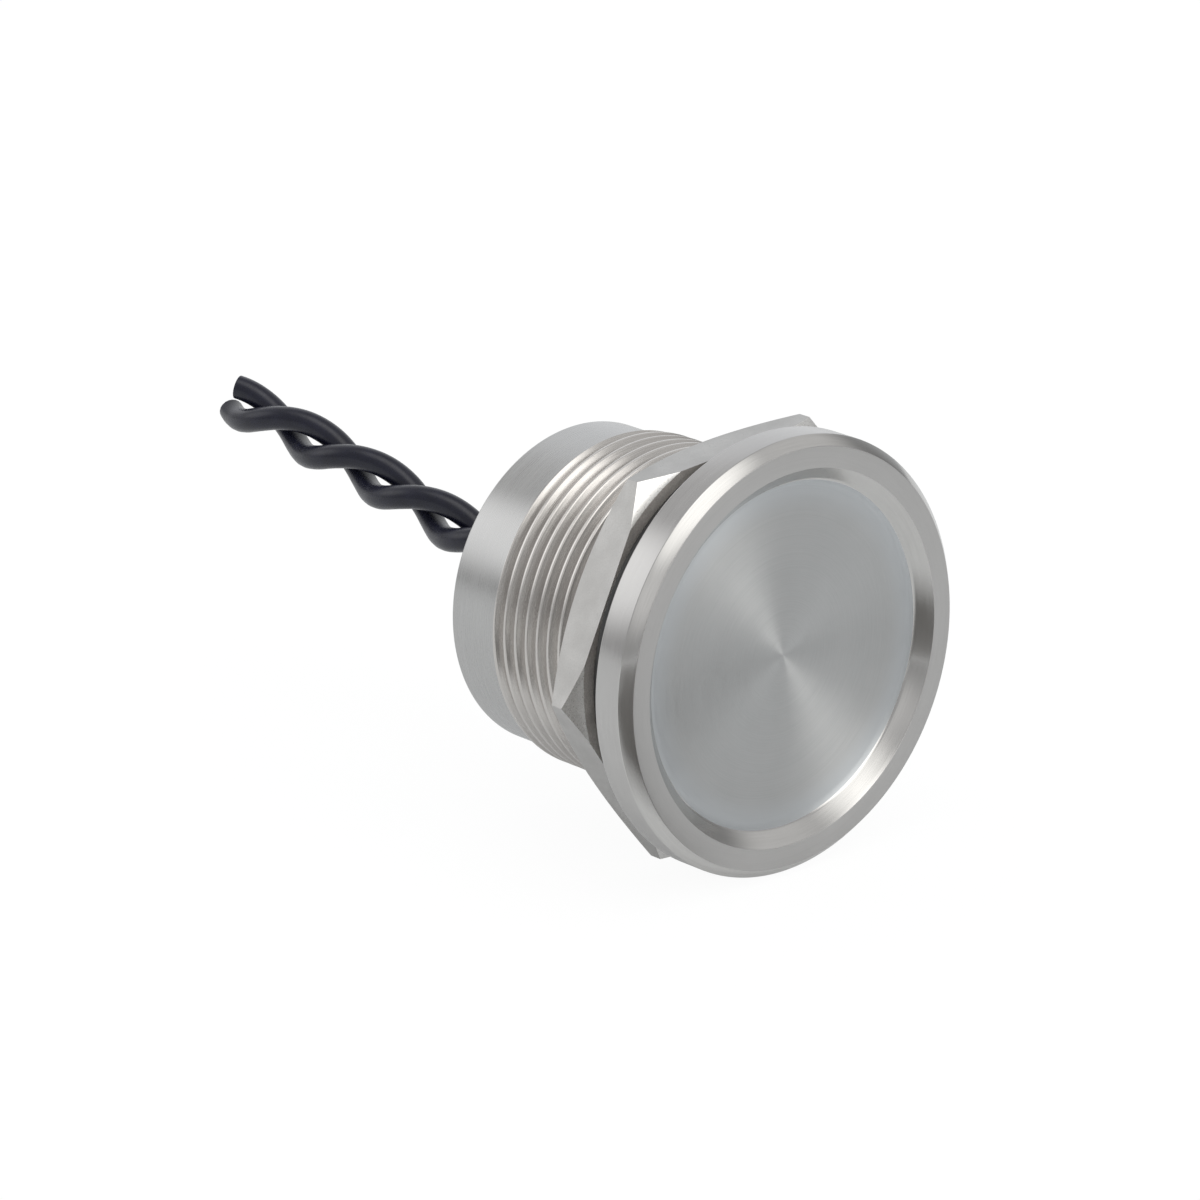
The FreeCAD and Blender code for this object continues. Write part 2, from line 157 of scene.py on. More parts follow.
def make_camera():
    camera = bpy.data.objects.new("camera", bpy.data.cameras.new("camera"))
    camera.data.sensor_width = VIEW_SENSOR
    camera.data.lens = VIEW_LENS
    camera.data.clip_start = VIEW_NEAR
    back = Vector((
        math.sin(VIEW_AZIMUTH) * math.cos(VIEW_ELEVATION),
        -math.cos(VIEW_AZIMUTH) * math.cos(VIEW_ELEVATION),
        math.sin(VIEW_ELEVATION),
    ))
    camera.location = VIEW_PLACE
    camera.rotation_mode = "QUATERNION"
    camera.rotation_quaternion = (-back).to_track_quat("-Z", "Y")
    bpy.context.scene.collection.objects.link(camera)
    bpy.context.scene.camera = camera


def pair_height(distance):
    """Height of the pair's middle at a distance from the potting."""
    for (near, low), (far, high) in zip(PAIR_LINE, PAIR_LINE[1:]):
        if distance <= far:
            break
    return low + (high - low) * (distance - near) / (far - near)


def lead_route(side):
    """Points of one lead's line, from inside the potting to the cut, in metres."""
    half_turn = 0 if side == "a" else 180
    end = LEAD_ENDS[side]
    count = round(end * PAIR_CORNERS / PAIR_LAY - 0.5)
    step = end / (count + 0.5)
    corner = 1 / math.cos(math.pi * step / PAIR_LAY)  # the line runs inside its corners
    points = []
    for i in range(count + 2):
        distance = min(step * i, end)
        share = min(distance / PAIR_SETTLED, 1)
        early = 1 - share * share * (3 - 2 * share)
        turn = PAIR_TURN + (EXIT_TURN - PAIR_TURN) * early + 360 * distance / PAIR_LAY
        angle = math.radians(turn + half_turn)
        offset = LEAD_RADIUS + PAIR_GAP + (EXIT_GAP - PAIR_GAP) * early
        if i <= count:
            offset *= corner
        lean = -PAIR_DRIFT * (distance / DRIFT_REACH) ** 2
        height = pair_height(distance) * (1 - early)
        points.append(Vector((
            lean + offset * math.cos(angle),
            POTTING_LEVEL + distance,
            height + offset * math.sin(angle),
        )))
    points.insert(0, points[0] - Vector((0, LEAD_BURY, 0)))
    return [point * MM for point in points]


def lead_curve(name, points, radius):
    """Round curve along a route; with no radius it is a bare line."""
    data = bpy.data.curves.new(name, "CURVE")
    data.dimensions = "3D"
    spline = data.splines.new("NURBS")
    spline.points.add(len(points) - 1)
    for place, point in zip(spline.points, points):
        place.co = (*point, 1)
        place.radius = radius
    spline.order_u = 3
    spline.use_endpoint_u = True
    data.resolution_u = 10
    data.bevel_depth = 1.0 if radius else 0.0  # times each point's radius
    data.bevel_resolution = 8
    data.use_fill_caps = True
    thing = bpy.data.objects.new(name, data)
    bpy.context.scene.collection.objects.link(thing)
    return thing


def line_of(points):
    """Points along the smooth line of a route, with no thickness."""
    plain = lead_curve("plain_line", points, 0)
    drawn = plain.evaluated_get(bpy.context.evaluated_depsgraph_get())
    mesh = bpy.data.meshes.new_from_object(drawn)
    line = [vertex.co.copy() for vertex in mesh.vertices]
    bpy.data.objects.remove(plain)
    bpy.data.meshes.remove(mesh)
    return line


def place_mesh(name, shape, smooth=35):
    """Turn a finished bmesh into a piece of the scene, smooth but for its sharp edges."""
    mesh = bpy.data.meshes.new(name)
    shape.to_mesh(mesh)
    shape.free()
    for face in mesh.polygons:
        face.use_smooth = True
    mesh.set_sharp_from_angle(angle=math.radians(smooth))
    thing = bpy.data.objects.new(name, mesh)
    bpy.context.scene.collection.objects.link(thing)
    return thing


def make_strands(name, line):
    """The cut copper strands in a lead's end: six round one, each a little domed."""
    end = line[-1]
    way = (line[-1] - line[-3]).normalized()
    turn = way.to_track_quat("Z", "Y").to_matrix().to_4x4()
    strand = STRAND_RADIUS * MM
    shape = bmesh.new()
    for i in range(7):
        reach = 0 if i == 0 else 2 * strand
        angle = math.radians(60 * i + STRAND_TURN)
        spot = Vector((reach * math.cos(angle), reach * math.sin(angle), 0))
        made = bmesh.ops.create_circle(shape, cap_ends=True, segments=16, radius=strand)
        verts = made["verts"]
        face = verts[0].link_faces[0]
        bmesh.ops.translate(shape, verts=verts, vec=spot - Vector((0, 0, STRAND_DEPTH * MM)))
        top = bmesh.ops.extrude_face_region(shape, geom=[face])
        rim = [item for item in top["geom"] if isinstance(item, bmesh.types.BMVert)]
        bmesh.ops.translate(shape, verts=rim, vec=(0, 0, (STRAND_DEPTH + STRAND_PROUD) * MM))
        lid = [item for item in top["geom"] if isinstance(item, bmesh.types.BMFace)]
        bmesh.ops.bevel(
            shape, geom=lid[0].edges[:], offset=STRAND_EDGE * MM, segments=2, profile=0.5,
            affect="EDGES", material=-1,
        )
    bmesh.ops.recalc_face_normals(shape, faces=shape.faces)
    bmesh.ops.transform(shape, matrix=Matrix.Translation(end) @ turn, verts=shape.verts)
    return place_mesh(name, shape)


def make_leads():
    """Both leads as round curves, with the copper in their cut ends."""
    made = []
    for side in LEAD_ENDS:
        points = lead_route(side)
        lead = lead_curve("insulation_" + side, points, LEAD_RADIUS * MM)
        line = line_of(points)
        strands = make_strands("strands_" + side, line)
        for piece in (lead, strands):
            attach(piece, "button")
        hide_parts("lead_" + side)
        made.append((lead, strands))
    return made


make_camera()
leads = make_leads()


# Materials

MIDDLE = (0.3, 0.7)  # the range in which most of a cloudy pattern lies
PALE_EDGE = (0.527, 0.547, 0.562)
PALE_START = 8.8
PALE_END = 10.9


class Finish:
    """Builds one material's nodes, with its patterns read from the piece's own place."""

    def __init__(self, name, roughness, metallic=0.0, specular=0.5):
        self.material = bpy.data.materials.new(name)
        self.material.use_nodes = True
        self.tree = self.material.node_tree
        self.shader = self.tree.nodes["Principled BSDF"]
        self.shader.inputs["Roughness"].default_value = roughness
        self.shader.inputs["Metallic"].default_value = metallic
        self.shader.inputs["Specular IOR Level"].default_value = specular
        self.place = self.tree.nodes.new("ShaderNodeTexCoord").outputs["Object"]

    def node(self, kind, *inputs, **settings):
        made = self.tree.nodes.new("ShaderNode" + kind)
        for key, value in settings.items():
            setattr(made, key, value)
        for number, value in enumerate(inputs):
            self.feed(made.inputs[number], value)
        return made

    def feed(self, socket, value):
        if isinstance(value, bpy.types.NodeSocket):
            self.tree.links.new(value, socket)
        elif value is not None:
            socket.default_value = value

    def stretched(self, across, along):
        """Coordinates round the button's axis: fine across the tool marks, slow along them."""
        flat = self.node("VectorMath", self.place, (1, 0, 1), operation="MULTIPLY").outputs[0]
        radius = self.node("VectorMath", flat, operation="LENGTH").outputs["Value"]
        level = self.node("SeparateXYZ", self.place).outputs["Y"]
        rings = self.node("CombineXYZ", radius, level, 0.0).outputs[0]
        fine = self.node("VectorMath", rings, operation="SCALE")
        fine.inputs["Scale"].default_value = across
        slow = self.node("VectorMath", flat, operation="SCALE")
        slow.inputs["Scale"].default_value = along
        return self.node("VectorMath", fine.outputs[0], slow.outputs[0], operation="ADD").outputs[0]

    def noise(self, coordinates, scale, detail=3.0, roughness=0.6):
        """Cloudy pattern from 0 to 1."""
        made = self.node("TexNoise")
        self.feed(made.inputs["Vector"], coordinates)
        made.inputs["Scale"].default_value = scale
        made.inputs["Detail"].default_value = detail
        made.inputs["Roughness"].default_value = roughness
        return made.outputs["Fac"]

    def tones(self, value, dark, light, start=MIDDLE[0], end=MIDDLE[1]):
        """Colour that goes from dark to light with a pattern."""
        ramp = self.node("ValToRGB", value)
        ramp.color_ramp.elements[0].position = start
        ramp.color_ramp.elements[0].color = (*dark, 1)
        ramp.color_ramp.elements[1].position = end
        ramp.color_ramp.elements[1].color = (*light, 1)
        self.feed(self.shader.inputs["Base Color"], ramp.outputs[0])

    def rough(self, value, low, high):
        """Roughness that follows a pattern's middle range."""
        spread = self.node("MapRange", value, *MIDDLE, low, high)
        self.feed(self.shader.inputs["Roughness"], spread.outputs[0])

    def bump(self, value, height):
        """Fine relief, its height in millimetres."""
        made = self.node("Bump")
        made.inputs["Strength"].default_value = 1.0
        made.inputs["Distance"].default_value = height * MM
        self.feed(made.inputs["Height"], value)
        self.feed(self.shader.inputs["Normal"], made.outputs[0])

    def blend(self, first, second, share):
        """Mix two patterns; share is the second one's part."""
        part = self.node("Math", second, share, operation="MULTIPLY").outputs[0]
        return self.node("Math", first, 1 - share, part, operation="MULTIPLY_ADD").outputs[0]

    def mix_out(self, share, first, second):
        """Show two surfaces mixed by share."""
        mix = self.node("MixShader", share, first, second)
        self.feed(self.tree.nodes["Material Output"].inputs["Surface"], mix.outputs[0])

    def done(self):
        return self.material


def turned_steel(name, dark, light, roughness, stretch, mark_height=0.0006, broad_share=0.35):
    """Steel with tool marks round its axis: streaks of tone, roughness and height."""
    finish = Finish(name, roughness, metallic=1.0)
    fine = finish.noise(finish.stretched(across=16000.0, along=500.0), 1.0, 4.0, 0.7)
    broad = finish.noise(finish.stretched(across=2600.0, along=120.0), 1.0, 3.0, 0.6)
    cloud = finish.noise(finish.place, 260.0, detail=2.0)
    marks = finish.blend(fine, broad, broad_share)
    finish.tones(finish.blend(marks, cloud, 0.2), dark, light)
    finish.rough(marks, roughness * 0.8, roughness * 1.2)
    finish.bump(fine, mark_height)
    finish.shader.inputs["Anisotropic"].default_value = stretch
    finish.shader.inputs["Anisotropic Rotation"].default_value = 0.25
    round_axis = finish.node("Tangent", direction_type="RADIAL", axis="Y")
    finish.feed(finish.shader.inputs["Tangent"], round_axis.outputs[0])
    return finish


def touch_steel():
    """The touch face's finish, paler in a soft ring where it runs up to the bevel."""
    finish = turned_steel(
        "touch_steel", (0.425, 0.432, 0.433), (0.533, 0.54, 0.541),
        roughness=0.45, stretch=0.86, mark_height=0.0007, broad_share=0.12,
    )
    tone = finish.shader.inputs["Base Color"].links[0].from_socket
    flat = finish.node("VectorMath", finish.place, (1, 0, 1), operation="MULTIPLY").outputs[0]
    radius = finish.node("VectorMath", flat, operation="LENGTH").outputs["Value"]
    ring = finish.node(
        "MapRange", radius, PALE_START * MM, PALE_END * MM, 0.0, 1.0,
        interpolation_type="SMOOTHSTEP",
    )
    mixed = finish.node("Mix", data_type="RGBA", blend_type="MIX")
    finish.feed(mixed.inputs["Factor"], ring.outputs[0])
    finish.feed(mixed.inputs[6], tone)
    mixed.inputs[7].default_value = (*PALE_EDGE, 1)
    finish.feed(finish.shader.inputs["Base Color"], mixed.outputs[2])
    return finish


def satin_steel(name, dark, light, roughness, grain, metallic=1.0):
    """Steel with a fine tumbled grain that sparkles; the bright sparkle along the nut's edges is
    painted glint in a paler copy.
    """
    finish = Finish(name, roughness, metallic)
    speck = finish.noise(finish.place, 9000.0, roughness=0.7)
    cloud = finish.noise(finish.place, 420.0)
    mottle = finish.node("Math", speck, cloud, operation="MULTIPLY").outputs[0]
    finish.tones(mottle, dark, light, start=0.12, end=0.4)
    finish.rough(speck, roughness * 0.85, roughness * 1.2)
    finish.bump(speck, grain)
    return finish.done()


def moulded(name, dark, light, roughness, scale, height, metallic=0.0):
    """A plain material with the fine unevenness of its making."""
    finish = Finish(name, roughness, metallic)
    fine = finish.noise(finish.place, scale, detail=4.0)
    cloud = finish.noise(finish.place, scale / 9, detail=2.0)
    finish.tones(cloud, dark, light)
    finish.rough(fine, roughness * 0.85, roughness * 1.15)
    finish.bump(fine, height)
    return finish.done()


def laminate():
    """Green glass laminate with the weave showing and paler tracks under the lacquer."""
    finish = Finish("board_laminate", 0.35)
    weave = finish.node("TexWave", bands_direction="X")
    finish.feed(weave.inputs["Vector"], finish.place)
    weave.inputs["Scale"].default_value = 900.0
    tracks = finish.node("TexBrick")
    turn = finish.node("Mapping", finish.place)
    turn.inputs["Rotation"].default_value = (math.radians(90), 0, 0)
    finish.feed(tracks.inputs["Vector"], turn.outputs[0])
    tracks.inputs["Scale"].default_value = 420.0
    tracks.inputs["Mortar Size"].default_value = 0.05
    finish.tones(tracks.outputs["Fac"], (0.015, 0.10, 0.04), (0.04, 0.20, 0.09), start=0.0, end=1.0)
    finish.bump(weave.outputs["Fac"], 0.006)
    return finish.done()


def lead_plastic():
    """Black soft insulation, satin, with faint flow marks."""
    finish = Finish("lead_insulation", 0.36, specular=0.42)
    flow = finish.noise(finish.place, 900.0)
    grain = finish.noise(finish.place, 7000.0)
    finish.tones(flow, (0.005, 0.0055, 0.014), (0.010, 0.011, 0.025))
    finish.rough(grain, 0.24, 0.36)
    finish.bump(grain, 0.003)
    return finish.done()


# Turned steels: dark and light tone, roughness, stretch of the highlight across the tool marks
TURNED_STEELS = {
    "cone_steel": ((0.49, 0.485, 0.475), (0.59, 0.585, 0.575), 0.16, 0.45),
    "rim_steel": ((0.42, 0.415, 0.41), (0.50, 0.495, 0.49), 0.40, 0.4),
    "side_steel": ((0.44, 0.434, 0.428), (0.53, 0.524, 0.518), 0.24, 0.6),
    "thread_steel": ((0.50, 0.48, 0.462), (0.66, 0.642, 0.622), 0.25, 0.45),
    "collar_steel": ((0.42, 0.42, 0.418), (0.52, 0.52, 0.517), 0.28, 0.6),
    "bore_steel": ((0.42, 0.42, 0.42), (0.55, 0.55, 0.55), 0.38, 0.4),
    "nut_bore_steel": ((0.45, 0.44, 0.43), (0.57, 0.56, 0.55), 0.26, 0.5),
    "plate_brass": ((0.70, 0.50, 0.20), (0.84, 0.64, 0.32), 0.26, 0.3),
}
# Tumbled steels: dark and light tone, roughness, height of the grain, metallic share
SATIN_STEELS = {
    "nut_steel": ((0.375, 0.37, 0.361), (0.488, 0.483, 0.474), 0.32, 0.004, 1.0),
    # The nut's edge bevels: a copy that runs up to near white, painted glint along the edges
    "nut_edge_steel": ((0.34, 0.33, 0.32), (1.0, 0.99, 0.97), 0.35, 0.012, 0.15),
    # The nut's chamfers: the same steel made far paler, a painted highlight on the cones
    "nut_chamfer_steel": ((0.74, 0.735, 0.72), (0.98, 0.975, 0.96), 0.30, 0.006, 1.0),
    # The nut's front face: paler, warmer and less metallic than the nut, painted light and
    # reflection where it lies in shade by the flange
    "nut_face_steel": ((0.47, 0.442, 0.415), (0.80, 0.762, 0.722), 0.46, 0.010, 0.45),
}
# Moulded and cast materials: dark and light tone, roughness, scale and height of the grain
MOULDED = {
    "seal_rubber": ((0.010, 0.010, 0.010), (0.018, 0.018, 0.018), 0.62, 3500.0, 0.006),
    "potting_resin": ((0.007, 0.007, 0.008), (0.014, 0.014, 0.015), 0.22, 900.0, 0.006),
    "film_plastic": ((0.55, 0.30, 0.05), (0.72, 0.42, 0.09), 0.28, 1200.0, 0.001),
    "ceramic": ((0.66, 0.64, 0.58), (0.80, 0.78, 0.72), 0.42, 5200.0, 0.003),
    "ring_plastic": ((0.012, 0.012, 0.014), (0.022, 0.022, 0.024), 0.45, 2600.0, 0.006),
    "package_plastic": ((0.012, 0.012, 0.013), (0.024, 0.024, 0.026), 0.5, 5200.0, 0.006),
    "chip_ceramic": ((0.20, 0.15, 0.10), (0.32, 0.25, 0.18), 0.36, 5200.0, 0.003),
}
# Metals with a fine grain, as above
GRAINED_METALS = {
    "copper": ((0.72, 0.34, 0.20), (0.88, 0.48, 0.30), 0.34, 6000.0, 0.004),
    "copper_wire": ((0.72, 0.34, 0.20), (0.88, 0.48, 0.30), 0.3, 3000.0, 0.002),
    "solder": ((0.50, 0.51, 0.52), (0.68, 0.69, 0.70), 0.2, 3000.0, 0.006),
}

finishes = {"touch_steel": touch_steel().done(), "board_laminate": laminate()}
finishes["lead_insulation"] = lead_plastic()
for name, look in TURNED_STEELS.items():
    finishes[name] = turned_steel(name, *look).done()
for name, look in SATIN_STEELS.items():
    finishes[name] = satin_steel(name, *look)
for name, look in MOULDED.items():
    finishes[name] = moulded(name, *look)
for name, look in GRAINED_METALS.items():
    finishes[name] = moulded(name, *look, metallic=1.0)

# Finish of each material slot whose pieces keep the source's shape
SLOT_FINISHES = {slot: slot for slot in [
    "film_plastic", "plate_brass", "ceramic", "ring_plastic", "board_laminate",
    "package_plastic", "chip_ceramic", "solder", "potting_resin",
]}
SLOT_FINISHES["copper"] = "copper_wire"
HOUSING_FINISHES = [
    "touch_steel", "cone_steel", "rim_steel", "side_steel", "thread_steel", "collar_steel",
    "bore_steel",
]
NUT_FINISHES = [
    "nut_steel", "nut_bore_steel", "nut_face_steel", "nut_chamfer_steel", "nut_edge_steel",
]


def dress(piece, *names):
    piece.data.materials.clear()
    for name in names:
        piece.data.materials.append(finishes[name])


for lead, strands in leads:
    dress(lead, "lead_insulation")
    dress(strands, "copper")


# Turned pieces

def turned(outline, closed=False):
    """Spin an outline of (radius, distance behind) about the button's axis."""
    shape = bmesh.new()
    corners = [shape.verts.new((radius * MM, level * MM, 0)) for radius, level in outline]
    pairs = list(zip(corners, corners[1:]))
    if closed:
        pairs.append((corners[-1], corners[0]))
    edges = [shape.edges.new(pair) for pair in pairs]
    bmesh.ops.spin(
        shape, geom=corners + edges, cent=(0, 0, 0), axis=AXIS, dvec=(0, 0, 0),
        angle=2 * math.pi, steps=STEPS, use_merge=True, use_duplicate=False,
    )
    bmesh.ops.remove_doubles(shape, verts=shape.verts, dist=MERGE)
    bmesh.ops.recalc_face_normals(shape, faces=shape.faces)
    return shape


def soften(shape, corners, width, segments=2):
    """Round the rings that lie at these (radius, distance behind) corners."""
    rings = []
    for edge in shape.edges:
        for radius, level in corners:
            if all(
                abs(math.hypot(point.co.x, point.co.z) - radius * MM) < NEAR
                and abs(point.co.y - level * MM) < NEAR
                for point in edge.verts
            ):
                rings.append(edge)
                break
    bmesh.ops.bevel(
        shape, geom=rings, offset=width * MM, segments=segments, profile=0.5,
        affect="EDGES", material=-1,
    )


def helix_strip(outline, start, turns):
    """Carry an outline of (radius, distance behind) along a right-hand thread and close it."""
    shape = bmesh.new()
    corners = [shape.verts.new((radius * MM, (level + start) * MM, 0)) for radius, level in outline]
    edges = [shape.edges.new(pair) for pair in zip(corners, corners[1:] + corners[:1])]
    bmesh.ops.spin(
        shape, geom=corners + edges, cent=(0, 0, 0), axis=AXIS,
        dvec=AXIS * THREAD_PITCH * MM / STEPS, angle=2 * math.pi,
        steps=STEPS, use_merge=False, use_duplicate=False,
    )
    first = shape.verts[:] + shape.edges[:] + shape.faces[:]
    for i in range(1, turns):
        copied = bmesh.ops.duplicate(shape, geom=first)["geom"]
        verts = [item for item in copied if isinstance(item, bmesh.types.BMVert)]
        bmesh.ops.translate(shape, verts=verts, vec=AXIS * THREAD_PITCH * MM * i)
    bmesh.ops.remove_doubles(shape, verts=shape.verts, dist=MERGE)
    close(shape)
    return shape


def close(shape):
    """Fill a shape's openings."""
    open_edges = [edge for edge in shape.edges if edge.is_boundary]
    bmesh.ops.holes_fill(shape, edges=open_edges, sides=0)
    bmesh.ops.recalc_face_normals(shape, faces=shape.faces)


def bisect(shape, point, normal):
    """Cut a shape off past a plane and close it again."""
    bmesh.ops.bisect_plane(
        shape, geom=shape.verts[:] + shape.edges[:] + shape.faces[:], dist=MERGE,
        plane_co=point, plane_no=normal, clear_outer=True,
    )
    close(shape)


def carve(name, blank, cutter):
    """Cut one closed shape out of another."""
    base = place_mesh(name, blank)
    tool = place_mesh(name + "_cutter", cutter)
    change = base.modifiers.new("carve", "BOOLEAN")
    change.operation = "DIFFERENCE"
    change.solver = "EXACT"
    change.object = tool
    drawn = base.evaluated_get(bpy.context.evaluated_depsgraph_get())
    mesh = bpy.data.meshes.new_from_object(drawn)
    base.modifiers.clear()
    base.data = mesh
    mesh.name = name
    bpy.data.objects.remove(tool)
    return base


def dress_regions(piece, names, region):
    """Give each face the finish for its radius, its place along the axis and its normal."""
    dress(piece, *names)
    for face in piece.data.polygons:
        x, y, z = face.center / MM
        face.material_index = names.index(region(math.hypot(x, z), y, face.normal.y))
        face.use_smooth = True
    piece.data.set_sharp_from_angle(angle=math.radians(12))


def housing_finish(radius, level, facing):
    if level < TOUCH_FACE + 0.1 and radius < TOUCH_RADIUS + 0.12:
        return "touch_steel"
    if level < TOUCH_FACE and radius < RIM_INNER - 0.02:
        return "cone_steel"
    if level < RIM_FACE + 0.015:
        return "rim_steel"
    if level < FLANGE_FRONT + 0.02 and radius > RIM_OUTER - 0.07:
        return "cone_steel"
    if radius > BARREL_RADIUS + 0.05:
        return "side_steel"
    if radius < BORE_RADIUS + 0.05 or (facing > 0.9 and level < 0):
        return "bore_steel"
    if level > COLLAR_START - 0.02:
        return "collar_steel"
    return "thread_steel"


def make_housing():
    """Flange with its recessed touch face, threaded barrel and collar, with the bore inside."""
    outline = [
        (0, TOUCH_FACE),
        (TOUCH_RADIUS * 0.5, TOUCH_FACE),
        (TOUCH_RADIUS, TOUCH_FACE),
        (RIM_INNER, RIM_FACE),
        (RIM_OUTER, RIM_FACE),
        (FLANGE_RADIUS, FLANGE_FRONT),
        (FLANGE_RADIUS, -EDGE),
        (FLANGE_RADIUS - EDGE, 0),
        (SEAT_RADIUS, 0),
        (SEAT_RADIUS, SEAT_LEVEL),
        (BARREL_RADIUS, SEAT_LEVEL),
        (BARREL_RADIUS, RELIEF_START),
        (THREAD_ROOT, RELIEF_START + THREAD_DEPTH),
        (THREAD_ROOT, RELIEF_END),
        (BARREL_RADIUS, RELIEF_END + THREAD_DEPTH),
        (BARREL_RADIUS, THREAD_END),
        (COLLAR_RADIUS, COLLAR_START),
        (COLLAR_RADIUS, COLLAR_END - EDGE),
        (COLLAR_RADIUS - EDGE, COLLAR_END),
        (BORE_RADIUS + EDGE, COLLAR_END),
        (BORE_RADIUS, COLLAR_END - EDGE),
        (BORE_RADIUS, BORE_FLOOR),
        (0, BORE_FLOOR),
    ]
    blank = turned(outline)
    soften(blank, [(TOUCH_RADIUS, TOUCH_FACE)], TOUCH_FILLET, segments=6)
    flange_rings = [(RIM_INNER, RIM_FACE), (RIM_OUTER, RIM_FACE), (FLANGE_RADIUS, FLANGE_FRONT)]
    soften(blank, flange_rings, RIM_EDGE, segments=3)
    soften(blank, [(FLANGE_RADIUS, -EDGE), (FLANGE_RADIUS - EDGE, 0)], EDGE_ROUND)
    collar_rings = [(COLLAR_RADIUS, COLLAR_END - EDGE), (COLLAR_RADIUS - EDGE, COLLAR_END)]
    soften(blank, collar_rings, EDGE_ROUND)
    mouth = THREAD_FLAT + THREAD_DEPTH * THREAD_SLOPE
    half_groove = [
        (THREAD_ROOT, THREAD_FLAT),
        (BARREL_RADIUS - CREST_CUT, mouth - CREST_CUT * THREAD_SLOPE),
    ]
    half_groove += [(BARREL_RADIUS + height, mouth + width) for height, width in CREST]
    groove = [(radius, -width) for radius, width in half_groove] + half_groove[::-1]
    thread = helix_strip(groove, THREAD_START, THREAD_TURNS)
    bisect(thread, (0, (COLLAR_START - CREST_END) * MM, 0), AXIS)
    housing = carve("housing_detail", blank, thread)
    dress_regions(housing, HOUSING_FINISHES, housing_finish)
    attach(housing, "button")
    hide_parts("housing")


def nut_finish(radius, level, facing):
    if radius < NUT_BORE + 0.27:
        return "nut_bore_steel"
    # The front face takes the paler, warmer copy: painted light in the shade by the flange
    if facing < -0.97:
        return "nut_face_steel"
    # The chamfers take the far paler copy of the steel: a painted highlight
    if 0.8 < abs(facing) <= 0.97:
        return "nut_chamfer_steel"
    # The edge bevels take the near-white copy: painted glint
    return "nut_edge_steel" if 0.15 < abs(facing) <= 0.8 else "nut_steel"


def make_nut():
    """Thin hexagon nut: a turned blank with a cone at each end, cut to six flats."""
    outside = NUT_FLAT / math.cos(math.pi / 6) + EDGE
    outline = [
        (NUT_BORE, NUT_FRONT + NUT_BORE_CHAMFER),
        (NUT_BORE + NUT_BORE_CHAMFER, NUT_FRONT),
        (NUT_FRONT_CIRCLE, NUT_FRONT),
        (outside, NUT_FRONT + (outside - NUT_FRONT_CIRCLE) * CHAMFER_SLOPE),
        (outside, NUT_REAR - (outside - NUT_REAR_CIRCLE) * CHAMFER_SLOPE),
        (NUT_REAR_CIRCLE, NUT_REAR),
        (NUT_BORE + NUT_BORE_CHAMFER, NUT_REAR),
        (NUT_BORE, NUT_REAR - NUT_BORE_CHAMFER),
    ]
    blank = turned(outline, closed=True)
    for i in range(6):
        turn = math.radians(NUT_TURN + 30 + 60 * i)
        out = Vector((math.cos(turn), 0, math.sin(turn)))
        bisect(blank, out * NUT_FLAT * MM, out)
    sharp = [
        edge for edge in blank.edges
        if edge.is_manifold and edge.calc_face_angle(0) > math.radians(20)
        and max(math.hypot(v.co.x, v.co.z) for v in edge.verts) > NUT_INSIDE * MM
    ]
    bmesh.ops.bevel(
        blank, geom=sharp, offset=NUT_EDGE * MM, segments=2, profile=0.5, affect="EDGES",
        material=-1, clamp_overlap=True,
    )
    groove = [
        (NUT_BORE - NUT_GROOVE_OVER, -NUT_GROOVE_MOUTH),
        (NUT_BORE + NUT_GROOVE_DEPTH, -NUT_GROOVE_FLAT),
        (NUT_BORE + NUT_GROOVE_DEPTH, NUT_GROOVE_FLAT),
        (NUT_BORE - NUT_GROOVE_OVER, NUT_GROOVE_MOUTH),
    ]
    thread = helix_strip(groove, NUT_FRONT - NUT_GROOVE_AHEAD, NUT_GROOVE_TURNS)
    nut = carve("nut_detail", blank, thread)
    dress_regions(nut, NUT_FINISHES, nut_finish)
    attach(nut, "nut")
    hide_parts("hex_nut")


def make_seal():
    """Moulded seal ring with the fine parting line round its middle."""
    shape = bmesh.new()
    made = bmesh.ops.create_circle(shape, cap_ends=False, segments=48, radius=SEAL_RADIUS * MM)
    for vertex in made["verts"]:
        if abs(vertex.co.y) < 1e-6:
            vertex.co.x -= math.copysign(SEAL_LINE * MM, vertex.co.x)
    bmesh.ops.translate(shape, verts=shape.verts, vec=(SEAL_CENTRE * MM, SEAL_PLACE * MM, 0))
    bmesh.ops.spin(
        shape, geom=shape.verts[:] + shape.edges[:], cent=(0, 0, 0), axis=AXIS, dvec=(0, 0, 0),
        angle=2 * math.pi, steps=STEPS, use_merge=True, use_duplicate=False,
    )
    bmesh.ops.recalc_face_normals(shape, faces=shape.faces)
    seal = place_mesh("seal_detail", shape, smooth=60)
    dress(seal, "seal_rubber")
    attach(seal, "button")
    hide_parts("seal_ring")


